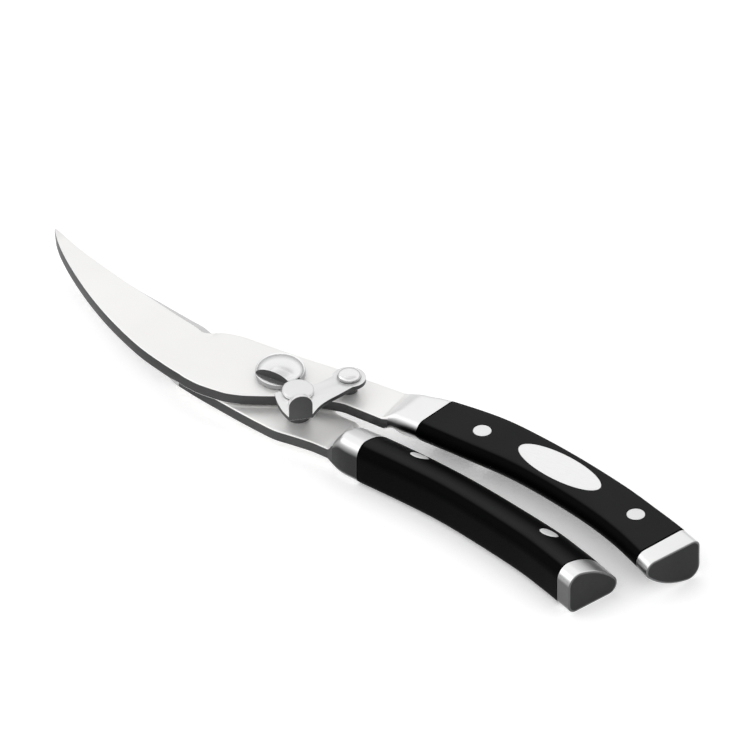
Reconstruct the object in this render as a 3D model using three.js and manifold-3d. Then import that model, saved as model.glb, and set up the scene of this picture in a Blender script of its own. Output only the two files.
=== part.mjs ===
// Poultry shears with curved blades, riveted grips, a screwed pivot and a swinging hook latch.
// Millimetres, +Z up. The shears lie flat and closed. The pivot axis is the Z axis, +X runs to the handles,
// and Z = 0 is the plane that the grips and the pivot nut rest on.

import * as THREE from 'three';
import * as BufferGeometryUtils from 'three/addons/utils/BufferGeometryUtils.js';
import Module from 'manifold-3d';

const wasm = await Module();
wasm.setup();

// ---------------------------------------------------------------- driving dimensions

const GRIP_LOW = 0;                 // underside of both grips
const GRIP_HIGH = 13.4;             // top of both grips
const MEET = 6.8;                   // plane between the two blades
const BLADE = 3.9;                  // blade thickness
const GAP = 0.3;                    // clearance between neighbouring pieces
const HALF_GAP = GAP / 2;
const PRESS_GAP = 0.05;             // clearance of a pressed fit
const SLIDE_GAP = 0.1;              // clearance of a running fit
const THROUGH = 1;                  // how far a cutter reaches past a face

const UPPER_LOW = MEET + HALF_GAP;
const UPPER_HIGH = UPPER_LOW + BLADE;
const LOWER_HIGH = MEET - HALF_GAP;
const LOWER_LOW = LOWER_HIGH - BLADE;

const CORNER_R = 3.0;               // rounding of a grip's outer corner at its flat face
const HEEL_R = 4.0;                 // and at its sloping face
const NOSE_R = 3.2;                 // rounding of a grip's thin inner side
const CROWN = 0.32;                 // radians that the sloping side turns through on each half of its crown
const SHANK_R = 0.6;                // rounding of a bare shank
const EDGE_THIN = 0.35;             // thickness left at a cutting edge
const UPPER_GRIND = 0.2;            // shares of a blade's width that are ground down to the edge
const LOWER_GRIND = 0.34;
const UPPER_GROUND_FROM = 1.02;     // where along a blade the grinding starts, 1 being the heel
const LOWER_GROUND_FROM = 0.97;
const TANG_WIDTH = 7.0;
const TANG_THICK = 3.2;
const TANG_CLEAR = 0.25;

const SCREW_R = 2.6;                // pivot screw shank
const BUSH_R = 3.4;                 // bronze bush around the shank
const HEAD_R = 7.45;
const HEAD_RIM = 1.75;              // height of the head's straight rim
const HEAD_DOME = 3.5;              // height of the dome above the rim
const HEAD_FLAT_Y = -4.7;           // the dome is milled away beyond this line
const NUT_R = 7.2;
const SPANNER_HOLE_R = 1.0;
const SPANNER_HOLE_AT = 4.8;
const SPANNER_HOLE = 1.6;           // depth of the holes
const NUT_SKIN = 0.9;               // metal left below the screw

const POCKET_R = 6.3;               // round pocket for the opening spring
const POCKET_DEPTH = 2.2;           // in each blade
const SPRING_WIRE = 1.0;
const SPRING_R = 4.9;
const SPRING_TURNS = 2.5;
const SPRING_LEG = 9.2;             // distance of a leg's end from the pivot
const SPRING_PITCH = 1.1;
const LEG_ROOM = 0.6;               // room round a leg in its groove
const LEG_HALF_ANGLE = 0.13;
const LOWER_LEG_ANGLE = Math.PI;    // the fixed leg points to the blade
const UPPER_LEG_ANGLE = 0;          // the working leg points to the handles
const OPEN_SWEEP = THREE.MathUtils.degToRad(52);

const STUD = new THREE.Vector2(11.8, -10.0);
const STUD_R = 3.4;
const STUD_NECK_R = 2.6;            // groove that the hook enters
const STUD_CAP_R = 4.7;
const STUD_CAP = 1.4;
const STUD_TAIL_R = 2.0;
const FLANGE = 0.8;                 // thickness of the riveted-over end of a stud or pin
const FLANGE_RIM = 1.0;             // how far it stands out all round

const LATCH_PIN = new THREE.Vector2(21.1, 3.9);
const LATCH_PIN_R = 1.7;
const LATCH_HEAD_R = 3.65;
const LATCH_HEAD = 1.9;
const LATCH_LOW = MEET + 7.5;
const LATCH_THICK = 1.4;
const LATCH_HIGH = LATCH_LOW + LATCH_THICK;
const LATCH_END_R = 5.0;
const LATCH_SPACER_R = 2.5;
const LATCH_WASHER_R = 3.0;
const LATCH_WASHER = 0.5;
const TAB_HEIGHT = 8.4;
const LATCH_RATIO = 1.2;            // degrees the hook turns for each degree the shears open
const LATCH_CLEAR_DEG = 24;         // shears angle over which the hook's mouth must clear the stud
const MOUTH_ROOM = 0.45;            // room round the stud in the mouth

const RIVET_HEAD_R = 2.75;
const RIVET_HEAD = 1.8;
const RIVET_BARREL_R = 1.7;
const RIVET_PIN_R = 0.9;
const RIVET_CLEAR = 0.1;
const RIVET_SPACE = 0.4;            // space left at the ends of the barrel and of the pin
const RIVET_ROOF = 0.6;             // metal between the barrel's bore and the head
const OVERLAP = 0.1;                // how far two joined lumps of one piece run into each other

const BADGE = new THREE.Vector2(94.9, -0.5);
const BADGE_TURN = THREE.MathUtils.degToRad(-12.5);
const BADGE_LONG = 15.6;            // half length
const BADGE_SHORT = 5.6;            // half width
const BADGE_DEPTH = 0.8;
const BADGE_SINK = 0.02;            // how far the plate lies below the grip's top

const CAP_SPIGOT_R = 1.5;
const CAP_SPIGOT = 4.0;
const CAP_SPIGOT_ROOT = 1.0;        // part of the spigot inside the cap

const ROUND = 32;                   // sides of a large round part
const ROUND_SMALL = 20;             // sides of a small one
const ROUND_LATCH = 28;             // and of the stud and the hook's pin

// ---------------------------------------------------------------- plan curves

const curve = (points) => new THREE.SplineCurve(points.map(([x, y]) => new THREE.Vector2(x, y)));
const smoothed = (points) => curve(points).getPoints(points.length * 2);

// Upper half: spine towards -Y, cutting edge towards +Y.
const UPPER_SPINE = curve([[-96.2, 32.0], [-91.5, 25.4], [-86.0, 19.7], [-78.0, 12.9], [-68.2, 5.6],
  [-57.0, -1.5], [-43.8, -8.3], [-32.5, -12.4], [-26.5, -14.0]]);
const UPPER_EDGE = curve([[-96.2, 32.0], [-88.6, 27.8], [-79.0, 24.4], [-64.4, 20.2], [-53.3, 17.8],
  [-40.0, 14.6], [-33.0, 12.9], [-26.5, 9.4]]);
const UPPER_HEEL = [[-28.0, 9.2], [-22.2, 10.8], [-18.5, 11.4], [-10.0, 11.2], [0.4, 11.2], [12.7, 11.7],
  [22.5, 11.2], [36.3, 11.1]];
const UPPER_SHANK = [[36.3, -3.2], [27.0, -2.6], [23.3, -2.4], [19.5, -3.1], [15.4, -4.4],
  [9.5, -6.6], [3.6, -9.3], [-0.4, -11.5], [-6.0, -14.2], [-11.1, -15.5], [-17.6, -15.7], [-24.0, -14.8],
  [-28.0, -13.7]];

// Lower half: cutting edge towards -Y, spine towards +Y.
const LOWER_EDGE = curve([[-94.6, 31.6], [-89.0, 25.0], [-83.6, 20.3], [-75.8, 13.9], [-66.4, 6.9],
  [-55.6, 0.3], [-43.5, -5.6], [-36.0, -8.6], [-28.4, -10.8]]);
const LOWER_SPINE = curve([[-94.6, 31.6], [-88.2, 27.6], [-78.8, 24.0], [-64.0, 19.0], [-53.0, 16.0],
  [-40.0, 11.6], [-33.0, 9.2], [-28.4, 8.6]]);
const LOWER_HEEL = [[-30.0, 8.6], [-24.0, 9.4], [-16.0, 10.2], [-6.0, 10.4], [2.0, 9.8], [9.0, 7.4],
  [14.5, 3.2], [18.5, -0.6], [22.0, -3.0], [27.3, -3.5]];
const LOWER_SHANK = [[27.3, -19.2], [21.0, -18.7], [15.2, -18.9], [9.7, -19.2], [3.3, -18.3],
  [-3.3, -17.0], [-10.0, -15.5], [-21.0, -12.9], [-26.5, -11.4], [-30.0, -10.6]];

// Outer and inner sides of each handle, at matching stations from the shank to the end.
const UPPER_OUTER = curve([[36.0, 11.1], [44.5, 12.1], [52.2, 13.4], [68.4, 13.6], [83.5, 11.3], [99.4, 7.6],
  [116.4, 2.6], [128.8, -2.0], [138.0, -5.6], [147.4, -9.8]]);
const UPPER_INNER = curve([[36.0, -3.2], [41.5, -3.5], [48.4, -3.9], [65.0, -5.6], [80.0, -7.1],
  [94.5, -10.2], [110.5, -14.9], [122.5, -19.6], [132.0, -24.4], [140.3, -29.2]]);
const LOWER_OUTER = curve([[27.0, -19.2], [33.0, -21.6], [39.2, -22.8], [54.3, -24.9], [69.0, -27.5],
  [84.9, -31.7], [101.1, -36.7], [112.0, -41.0], [118.0, -43.6], [123.9, -46.2]]);
const LOWER_INNER = curve([[27.0, -3.5], [34.0, -3.6], [40.6, -3.9], [57.0, -6.2], [72.3, -9.2],
  [88.5, -13.3], [104.6, -17.9], [115.0, -21.9], [122.0, -24.8], [130.3, -28.6]]);

const STATIONS = 9;                 // spans between the ten stations above
const GRIP_START = 2 / STATIONS;
const TANG_ROOT = 0.04;             // shares of a handle's length: overlap of the tang into the bolster
const TANG_END = 0.06;              // and the space left for the cap's spigot
const GRIP_STEPS = 20;
const JOINT_GAP = 0.002;            // share of a handle's length left open where two pieces meet
const BOLSTER_FULL = 0.9 / STATIONS;  // where the shank has swelled to the full section

// ---------------------------------------------------------------- geometry helpers

function toSolid(geometry) {
  const bare = geometry.clone();
  bare.deleteAttribute('normal');
  bare.deleteAttribute('uv');
  const merged = BufferGeometryUtils.mergeVertices(bare, 1e-4);
  return new wasm.Manifold(new wasm.Mesh({
    numProp: 3,
    vertProperties: new Float32Array(merged.attributes.position.array),
    triVerts: new Uint32Array(merged.index.array),
  }));
}

function toGeometry(solid) {
  const mesh = solid.getMesh();
  const geometry = new THREE.BufferGeometry();
  geometry.setAttribute('position', new THREE.BufferAttribute(new Float32Array(mesh.vertProperties), 3));
  geometry.setIndex(new THREE.BufferAttribute(new Uint32Array(mesh.triVerts), 1));
  return geometry;
}

function extrudeShape(shape, low, high) {
  const geometry = new THREE.ExtrudeGeometry(shape, { depth: high - low, bevelEnabled: false });
  return toSolid(geometry.translate(0, 0, low));
}

const toVector = (p) => (p.isVector2 ? p : new THREE.Vector2(...p));

function extrudeOutline(points, low, high) {
  return extrudeShape(new THREE.Shape(points.map(toVector)), low, high);
}

function rod(x, y, radius, low, high, sides = ROUND_SMALL) {
  const geometry = new THREE.CylinderGeometry(radius, radius, high - low, sides);
  return toSolid(geometry.rotateX(Math.PI / 2).translate(x, y, (low + high) / 2));
}

function turned(x, y, profile, sides = ROUND) {
  const points = profile.map(([r, z]) => new THREE.Vector2(r, z));
  return toSolid(new THREE.LatheGeometry(points, sides).rotateX(Math.PI / 2).translate(x, y, 0));
}

// A closed skin over rings that all have the same number of points.
function loft(rings) {
  const count = rings[0].length;
  const positions = rings.flat().flatMap((p) => [p.x, p.y, p.z]);
  const indices = [];
  for (let ring = 0; ring < rings.length - 1; ring += 1) {
    for (let i = 0; i < count; i += 1) {
      const a = ring * count + i;
      const b = ring * count + ((i + 1) % count);
      indices.push(a, b, a + count, b, b + count, a + count);
    }
  }
  const last = (rings.length - 1) * count;
  for (let i = 1; i < count - 1; i += 1) {
    indices.push(0, i + 1, i);
    indices.push(last, last + i, last + i + 1);
  }
  const geometry = new THREE.BufferGeometry();
  geometry.setAttribute('position', new THREE.Float32BufferAttribute(positions, 3));
  geometry.setIndex(indices);
  const solid = toSolid(geometry);
  if (solid.volume() > 0) {
    return solid;
  }
  const flipped = geometry.index.array;
  for (let i = 0; i < flipped.length; i += 3) {
    [flipped[i], flipped[i + 1]] = [flipped[i + 1], flipped[i]];
  }
  return toSolid(geometry);
}

function arcPoints(cx, cy, radius, from, to, steps) {
  return Array.from({ length: steps + 1 }, (_, i) => {
    const angle = from + ((to - from) * i) / steps;
    return new THREE.Vector2(cx + radius * Math.cos(angle), cy + radius * Math.sin(angle));
  });
}

const mix = THREE.MathUtils.lerp;

// Section of a handle: `s` runs from the outer wall to the inner side, and `h` up from the sloping face to
// the flat one. At `square` = 1 it is a rounded rectangle, and at 0 a wedge that ends in one round nose.
const GRIP_SECTION = { cornerR: CORNER_R, heelR: HEEL_R, noseR: NOSE_R, crown: CROWN, square: 0 };
const SHANK_SECTION = { cornerR: SHANK_R, heelR: SHANK_R, noseR: SHANK_R, crown: 0, square: 1 };

function blendSections(a, b, share) {
  return Object.fromEntries(Object.keys(a).map((key) => [key, mix(a[key], b[key], share)]));
}

function handleSection(width, height, { cornerR, heelR, noseR, crown, square }) {
  const nose = new THREE.Vector2(width - noseR, height - noseR);
  const lowNose = new THREE.Vector2(nose.x, mix(nose.y, noseR, square));
  const heel = new THREE.Vector2(heelR, heelR);
  const reach = lowNose.clone().sub(heel);
  const touch = Math.atan2(reach.y, reach.x) - Math.acos((heelR - noseR) / reach.length());
  const lowArc = arcPoints(lowNose.x, lowNose.y, noseR, 0, touch + crown, 4);
  const heelArc = arcPoints(heel.x, heel.y, heelR, touch - crown, -Math.PI, 5);
  const from = lowArc[lowArc.length - 1];
  const to = heelArc[0];
  const outwards = new THREE.Vector2(Math.cos(touch), Math.sin(touch));
  const rise = (from.distanceTo(to) / 2) * Math.tan(crown);
  const peak = from.clone().lerp(to, 0.5).addScaledVector(outwards, rise);
  return [
    ...arcPoints(cornerR, height - cornerR, cornerR, Math.PI, Math.PI / 2, 4),
    ...arcPoints(nose.x, nose.y, noseR, Math.PI / 2, 0, 4).slice(0, -1),
    ...lowArc,
    ...new THREE.QuadraticBezierCurve(from, peak, to).getPoints(4).slice(1, -1),
    ...heelArc,
  ];
}

// A ring of a handle at station t, between the heights low and high.
function handleRing(half, t, low, high, section) {
  const outer = half.outer.getPoint(t);
  const across = half.inner.getPoint(t).sub(outer);
  const width = across.length();
  across.normalize();
  return handleSection(width, high - low, section).map((p) => new THREE.Vector3(
    outer.x + across.x * p.x,
    outer.y + across.y * p.x,
    half.up ? low + p.y : high - p.y,
  ));
}

const gripRing = (half, t) => handleRing(half, t, GRIP_LOW, GRIP_HIGH, GRIP_SECTION);

function handleLoft(half, from, to, steps) {
  return loft(Array.from({ length: steps + 1 }, (_, i) => gripRing(half, mix(from, to, i / steps))));
}

// The shank swells from the blade's thickness to the grip's section.
function bolster(half) {
  const steps = 8;
  const rings = Array.from({ length: steps + 1 }, (_, i) => {
    const swell = THREE.MathUtils.smoothstep(i / steps, 0, 1);
    const low = mix(half.low, GRIP_LOW, swell);
    const high = mix(half.high, GRIP_HIGH, swell);
    const section = blendSections(SHANK_SECTION, GRIP_SECTION, swell);
    section.square = (1 - swell) ** 2;
    return handleRing(half, mix(0, BOLSTER_FULL, i / steps), low, high, section);
  });
  return loft([...rings, gripRing(half, GRIP_START - JOINT_GAP)]);
}

// Middle of a handle at station t.
function handleMiddle(half, t, share = 0.43) {
  return half.outer.getPoint(t).lerp(half.inner.getPoint(t), share);
}

function tangLoft(half, from, to, grow) {
  const steps = 12;
  const middle = (half.low + half.high) / 2;
  return loft(Array.from({ length: steps + 1 }, (_, i) => {
    const t = mix(from, to, i / steps);
    const centre = handleMiddle(half, t);
    const across = half.inner.getPoint(t).sub(half.outer.getPoint(t)).normalize();
    const w = TANG_WIDTH / 2 + grow;
    const h = TANG_THICK / 2 + grow;
    return [[-w, -h], [w, -h], [w, h], [-w, h]].map(([s, z]) => new THREE.Vector3(
      centre.x + across.x * s, centre.y + across.y * s, middle + z));
  }));
}

// A blade from heel to tip: full at the spine, ground down to a thin edge, thinner towards the point.
// `away` is the direction from the meeting face to the outer one, and the grinding starts at `groundFrom`.
function bladeLoft(spine, edge, flatZ, away, grind, groundFrom) {
  const steps = 26;
  const tipCut = 0.015;
  const groundFade = 0.13;
  const rings = Array.from({ length: steps + 1 }, (_, i) => {
    const t = mix(1, tipCut, i / steps);
    const back = spine.getPoint(t);
    const front = edge.getPoint(t);
    const ground = THREE.MathUtils.smoothstep(groundFrom - t, 0, groundFade);
    const thick = BLADE * THREE.MathUtils.smoothstep(t, -0.12, 0.16);
    const shoulder = front.clone().lerp(back, grind * ground);
    const outerZ = flatZ + away * thick;
    const edgeZ = flatZ + away * mix(thick, EDGE_THIN, ground);
    return [
      new THREE.Vector3(back.x, back.y, flatZ),
      new THREE.Vector3(front.x, front.y, flatZ),
      new THREE.Vector3(front.x, front.y, edgeZ),
      new THREE.Vector3(shoulder.x, shoulder.y, outerZ),
      new THREE.Vector3(back.x, back.y, outerZ),
    ];
  });
  return loft(rings);
}

// ---------------------------------------------------------------- the two forged halves

const UPPER = {
  outer: UPPER_OUTER,
  inner: UPPER_INNER,
  low: UPPER_LOW,
  high: UPPER_HIGH,
  up: true,
  capStart: 8.3 / STATIONS,
};
const LOWER = {
  outer: LOWER_OUTER,
  inner: LOWER_INNER,
  low: LOWER_LOW,
  high: LOWER_HIGH,
  up: false,
  capStart: 8.1 / STATIONS,
};

const RIVETS = [
  { name: 'upper_front', half: UPPER, at: [66.4, 3.6] },
  { name: 'upper_rear', half: UPPER, at: [125.4, -9.1] },
  { name: 'lower_front', half: LOWER, at: [54.7, -12.9] },
  { name: 'lower_rear', half: LOWER, at: [106.3, -26.8] },
];

const rivetsOf = (half) => RIVETS.filter((rivet) => rivet.half === half);

// A sector groove that lets a spring leg lie beside the pocket, over `sweep` radians from `start`.
function legGroove(start, sweep, low, high) {
  const inner = POCKET_R - THROUGH;
  const outer = SPRING_LEG + LEG_ROOM;
  const shape = new THREE.Shape([
    ...arcPoints(0, 0, outer, start, start + sweep, 10),
    ...arcPoints(0, 0, inner, start + sweep, start, 10),
  ]);
  return extrudeShape(shape, low, high);
}

// Cuts the bore for a stud or pin, with the recess for its flange at `recessLow`...`recessHigh`.
function cutPinHole(solid, at, radius, half, recessLow, recessHigh) {
  const bore = rod(at.x, at.y, radius, half.low - THROUGH, half.high + THROUGH);
  const recess = rod(at.x, at.y, radius + FLANGE_RIM, recessLow, recessHigh);
  return solid.subtract(bore).subtract(recess);
}

function forgedHalf(half, heel, shank, blade) {
  const plate = extrudeOutline([...smoothed(heel), ...smoothed(shank)], half.low, half.high);
  const tang = tangLoft(half, GRIP_START - TANG_ROOT, half.capStart - TANG_END, 0);
  let solid = plate.add(blade).add(bolster(half)).add(tang);
  solid = solid.subtract(rod(0, 0, BUSH_R + PRESS_GAP, half.low - THROUGH, half.high + THROUGH, ROUND));
  rivetsOf(half).forEach((rivet) => {
    solid = solid.subtract(rivetSeat(rivet));
  });
  return solid;
}

function makeUpperBlade() {
  const blade = bladeLoft(UPPER_SPINE, UPPER_EDGE, UPPER_LOW, 1, UPPER_GRIND, UPPER_GROUND_FROM);
  const open = UPPER_LOW - THROUGH;
  const roof = UPPER_LOW + POCKET_DEPTH - HALF_GAP;
  const groove = legGroove(UPPER_LEG_ANGLE - LEG_HALF_ANGLE - OPEN_SWEEP, OPEN_SWEEP + 2 * LEG_HALF_ANGLE,
    open, roof);
  const solid = forgedHalf(UPPER, UPPER_HEEL, UPPER_SHANK, blade)
    .subtract(rod(0, 0, POCKET_R, open, roof, ROUND))
    .subtract(groove);
  return cutPinHole(solid, LATCH_PIN, LATCH_PIN_R + SLIDE_GAP, UPPER, open, UPPER_LOW + FLANGE + SLIDE_GAP);
}

function makeLowerBlade() {
  const blade = bladeLoft(LOWER_SPINE, LOWER_EDGE, LOWER_HIGH, -1, LOWER_GRIND, LOWER_GROUND_FROM);
  const open = LOWER_HIGH + THROUGH;
  const floor = LOWER_HIGH - POCKET_DEPTH + HALF_GAP;
  const groove = legGroove(LOWER_LEG_ANGLE - LEG_HALF_ANGLE, 2 * LEG_HALF_ANGLE, floor, open);
  const solid = forgedHalf(LOWER, LOWER_HEEL, LOWER_SHANK, blade)
    .subtract(rod(0, 0, POCKET_R, floor, open, ROUND))
    .subtract(groove);
  return cutPinHole(solid, STUD, STUD_TAIL_R + PRESS_GAP, LOWER, LOWER_LOW - THROUGH,
    LOWER_LOW + FLANGE + SLIDE_GAP);
}

// ---------------------------------------------------------------- grips, end caps, rivets, badge

function makeGrip(half) {
  let solid = handleLoft(half, GRIP_START, half.capStart, GRIP_STEPS);
  solid = solid.subtract(tangLoft(half, GRIP_START - TANG_ROOT, half.capStart + TANG_ROOT, TANG_CLEAR));
  rivetsOf(half).forEach((rivet) => {
    solid = solid.subtract(rivetSeat(rivet));
  });
  if (half === UPPER) {
    solid = solid.subtract(badgeSolid(BADGE_DEPTH + SLIDE_GAP, SLIDE_GAP, GRIP_HIGH + THROUGH));
  }
  return solid;
}

// The stepped hole that a rivet sits in, with clearance all round.
function rivetSeat({ half, at }) {
  const [low, high] = surfaceHeights(half, at);
  const headR = RIVET_HEAD_R + RIVET_CLEAR;
  return rod(...at, RIVET_BARREL_R + RIVET_CLEAR, GRIP_LOW - THROUGH, GRIP_HIGH + THROUGH)
    .add(rod(...at, headR, high - RIVET_HEAD - RIVET_CLEAR, GRIP_HIGH + THROUGH))
    .add(rod(...at, headR, GRIP_LOW - THROUGH, low + RIVET_HEAD + RIVET_CLEAR));
}

// Lowest and highest points of the handle's skin above a place in plan.
function surfaceHeights(half, at) {
  const probe = rod(...at, RIVET_HEAD_R, GRIP_LOW - THROUGH, GRIP_HIGH + THROUGH).intersect(
    handleLoft(half, GRIP_START, half.capStart, GRIP_STEPS));
  const box = new THREE.Box3().setFromBufferAttribute(toGeometry(probe).attributes.position);
  const sloped = 0.5 * RIVET_HEAD_R;
  return half.up ? [box.min.z + sloped, box.max.z] : [box.min.z, box.max.z - sloped];
}

function makeEndCap(half) {
  const steps = 4;
  const rings = Array.from({ length: steps + 1 }, (_, i) => gripRing(half,
    mix(half.capStart + JOINT_GAP, 1, i / steps)));
  const seat = handleMiddle(half, half.capStart);
  const towards = handleMiddle(half, half.capStart - TANG_ROOT).sub(seat).normalize();
  const middle = seat.clone().addScaledVector(towards, CAP_SPIGOT / 2 - CAP_SPIGOT_ROOT);
  const spigot = new THREE.CylinderGeometry(CAP_SPIGOT_R, CAP_SPIGOT_R, CAP_SPIGOT, 12);
  spigot.rotateZ(Math.PI / 2 + Math.atan2(towards.y, towards.x));
  spigot.translate(middle.x, middle.y, (half.low + half.high) / 2);
  return loft(rings).add(toSolid(spigot));
}

// A cutler's rivet: the hollow half with the upper head, and the pin half with the lower one.
function makeRivet(rivet) {
  const { half, at } = rivet;
  const [low, high] = surfaceHeights(half, at);
  const skin = handleLoft(half, GRIP_START, half.capStart, GRIP_STEPS);
  const headLow = high - RIVET_HEAD;
  const pinHeadHigh = low + RIVET_HEAD;
  const barrelEnd = pinHeadHigh + RIVET_SPACE;
  const head = rod(...at, RIVET_HEAD_R, headLow, GRIP_HIGH + THROUGH)
    .add(rod(...at, RIVET_BARREL_R, barrelEnd, headLow + OVERLAP))
    .subtract(rod(...at, RIVET_PIN_R + SLIDE_GAP, barrelEnd - THROUGH, headLow - RIVET_ROOF))
    .intersect(skin);
  const pin = rod(...at, RIVET_HEAD_R, GRIP_LOW - THROUGH, pinHeadHigh)
    .add(rod(...at, RIVET_PIN_R, pinHeadHigh - OVERLAP, headLow - RIVET_ROOF - RIVET_SPACE))
    .intersect(skin);
  return { head, pin };
}

function badgeSolid(depth, grow, high) {
  const ellipse = new THREE.EllipseCurve(BADGE.x, BADGE.y, BADGE_LONG + grow, BADGE_SHORT + grow,
    0, 2 * Math.PI, false, BADGE_TURN);
  const points = ellipse.getPoints(ROUND).slice(0, -1);
  return extrudeOutline(points, GRIP_HIGH - depth, high);
}

// ---------------------------------------------------------------- pivot

function makePivotScrew() {
  const base = UPPER_HIGH + GAP;
  const rim = UPPER_HIGH + HEAD_RIM;
  const dome = arcPoints(0, 0, 1, 0, Math.PI / 2, 8).map((p) => [HEAD_R * p.x, rim + HEAD_DOME * p.y]);
  const cap = [[0, base], [HEAD_R, base], ...dome.slice(0, -1), [0, rim + HEAD_DOME]];
  const cutHeight = HEAD_DOME + THROUGH;
  const cut = new THREE.BoxGeometry(2 * (HEAD_R + THROUGH), HEAD_R, cutHeight);
  cut.translate(0, HEAD_FLAT_Y - HEAD_R / 2, rim + cutHeight / 2);
  const shank = rod(0, 0, SCREW_R, GRIP_LOW + NUT_SKIN + GAP, base + OVERLAP);
  return turned(0, 0, cap).subtract(toSolid(cut)).add(shank);
}

// A plain ring round (x, y).
function tube(x, y, inner, outer, low, high, sides) {
  return turned(x, y, [[inner, low], [outer, low], [outer, high], [inner, high], [inner, low]], sides);
}

function makePivotBush() {
  const inset = 0.2;
  return tube(0, 0, SCREW_R + SLIDE_GAP, BUSH_R, LOWER_LOW + inset, UPPER_HIGH - inset, ROUND);
}

function makePivotNut() {
  const top = LOWER_LOW - GAP;
  const nut = rod(0, 0, NUT_R, GRIP_LOW, top, ROUND);
  const bore = rod(0, 0, SCREW_R + PRESS_GAP, GRIP_LOW + NUT_SKIN, top + THROUGH);
  const holes = [-1, 1].map((side) => rod(side * SPANNER_HOLE_AT, 0, SPANNER_HOLE_R, GRIP_LOW - THROUGH,
    SPANNER_HOLE, 12));
  return nut.subtract(bore).subtract(holes[0]).subtract(holes[1]);
}

// Helical torsion spring with one leg to each blade.
class SpringPath extends THREE.Curve {
  getPoint(t, target = new THREE.Vector3()) {
    const legShare = 0.08;
    const coil = THREE.MathUtils.clamp((t - legShare) / (1 - 2 * legShare), 0, 1);
    const angle = LOWER_LEG_ANGLE + coil * SPRING_TURNS * 2 * Math.PI;
    const climb = (SPRING_TURNS * SPRING_PITCH) / 2;
    const leg = Math.max(legShare - t, t - 1 + legShare, 0) / legShare;
    const radius = mix(SPRING_R, SPRING_LEG, leg);
    return target.set(radius * Math.cos(angle), radius * Math.sin(angle), MEET + mix(-climb, climb, coil));
  }
}

function makeOpeningSpring() {
  const section = new THREE.Shape(arcPoints(0, 0, SPRING_WIRE / 2, 0, (2 * Math.PI * 5) / 6, 5));
  return toSolid(new THREE.ExtrudeGeometry(section, { steps: 64, extrudePath: new SpringPath() }));
}

// ---------------------------------------------------------------- latch

function makeStud() {
  const shoulder = LOWER_HIGH + PRESS_GAP;
  const neckLow = LATCH_LOW - 0.35;
  const capLow = LATCH_HIGH + HALF_GAP;
  const capHigh = LATCH_HIGH + STUD_CAP;
  const chamfer = 0.3;
  const flangeR = STUD_TAIL_R - PRESS_GAP + FLANGE_RIM;
  return turned(STUD.x, STUD.y, [
    [0, LOWER_LOW], [flangeR, LOWER_LOW], [flangeR, LOWER_LOW + FLANGE], [STUD_TAIL_R, LOWER_LOW + FLANGE],
    [STUD_TAIL_R, shoulder], [STUD_R, shoulder], [STUD_R, neckLow], [STUD_NECK_R, neckLow],
    [STUD_NECK_R, capLow], [STUD_CAP_R, capLow], [STUD_CAP_R, capHigh - chamfer],
    [STUD_CAP_R - chamfer, capHigh], [0, capHigh],
  ], ROUND_LATCH);
}

const LATCH_OUTLINE = [[6.1, -13.9], [8.1, -16.4], [10.4, -18.6], [12.8, -20.4], [15.6, -21.9], [20.9, -17.1],
  [20.7, -12.9], [21.4, -9.1], [22.8, -4.9], [24.6, -0.6]];
const LATCH_BACK = [[16.6, 1.8], [15.4, -1.6], [13.6, -5.0], [11.0, -6.2], [7.2, -11.4]];
const TAB_FOOT = [new THREE.Vector2(15.6, -21.9), new THREE.Vector2(20.9, -17.1)];

// Where the stud stands, seen from the hook, when the shears are open by `angle`.
function studSeenFromHook(angle) {
  const origin = new THREE.Vector2();
  return STUD.clone().rotateAround(origin, -angle).rotateAround(LATCH_PIN, -angle * LATCH_RATIO);
}

// The thumb tab: a round-topped plate that stands on the hook's near end.
function makeTab() {
  const foot = TAB_FOOT[1].clone().sub(TAB_FOOT[0]);
  const half = foot.length() / 2;
  const face = new THREE.Shape();
  face.moveTo(-half, 0);
  face.lineTo(half, 0);
  face.lineTo(half, TAB_HEIGHT - half);
  face.absarc(0, TAB_HEIGHT - half, half, 0, Math.PI, false);
  const tab = new THREE.ExtrudeGeometry(face, { depth: LATCH_THICK, bevelEnabled: false });
  tab.rotateX(Math.PI / 2).translate(0, LATCH_THICK, 0).rotateZ(foot.angle());
  const middle = TAB_FOOT[0].clone().lerp(TAB_FOOT[1], 0.5);
  return toSolid(tab.translate(middle.x, middle.y, LATCH_LOW));
}

function makeLatchHook() {
  const low = LATCH_LOW - THROUGH;
  const high = LATCH_HIGH + THROUGH;
  const end = arcPoints(LATCH_PIN.x, LATCH_PIN.y, LATCH_END_R, -0.85, Math.PI + 0.3, 12);
  let solid = extrudeOutline([...LATCH_OUTLINE, ...end, ...LATCH_BACK], LATCH_LOW, LATCH_HIGH);
  const steps = 16;
  for (let i = 0; i <= steps; i += 1) {
    const at = studSeenFromHook(THREE.MathUtils.degToRad((LATCH_CLEAR_DEG * i) / steps));
    solid = solid.subtract(rod(at.x, at.y, STUD_NECK_R + MOUTH_ROOM, low, high, 24));
  }
  const bore = rod(LATCH_PIN.x, LATCH_PIN.y, LATCH_PIN_R + SLIDE_GAP, low, high, 24);
  return solid.add(makeTab()).subtract(bore);
}

function makeLatchRivet() {
  const seat = LATCH_HIGH + SLIDE_GAP;
  const rimAngle = 0.35;
  const dome = arcPoints(0, 0, 1, rimAngle, Math.PI / 2, 6).map((p) => [
    LATCH_HEAD_R * p.x + 0.2 * (1 - p.y), seat + LATCH_HEAD * p.y]);
  const flangeR = LATCH_PIN_R + FLANGE_RIM;
  return turned(LATCH_PIN.x, LATCH_PIN.y, [
    [0, UPPER_LOW], [flangeR, UPPER_LOW], [flangeR, UPPER_LOW + FLANGE], [LATCH_PIN_R, UPPER_LOW + FLANGE],
    [LATCH_PIN_R, seat], [LATCH_HEAD_R, seat], ...dome.slice(0, -1), [0, seat + LATCH_HEAD],
  ], ROUND_LATCH);
}

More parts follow.
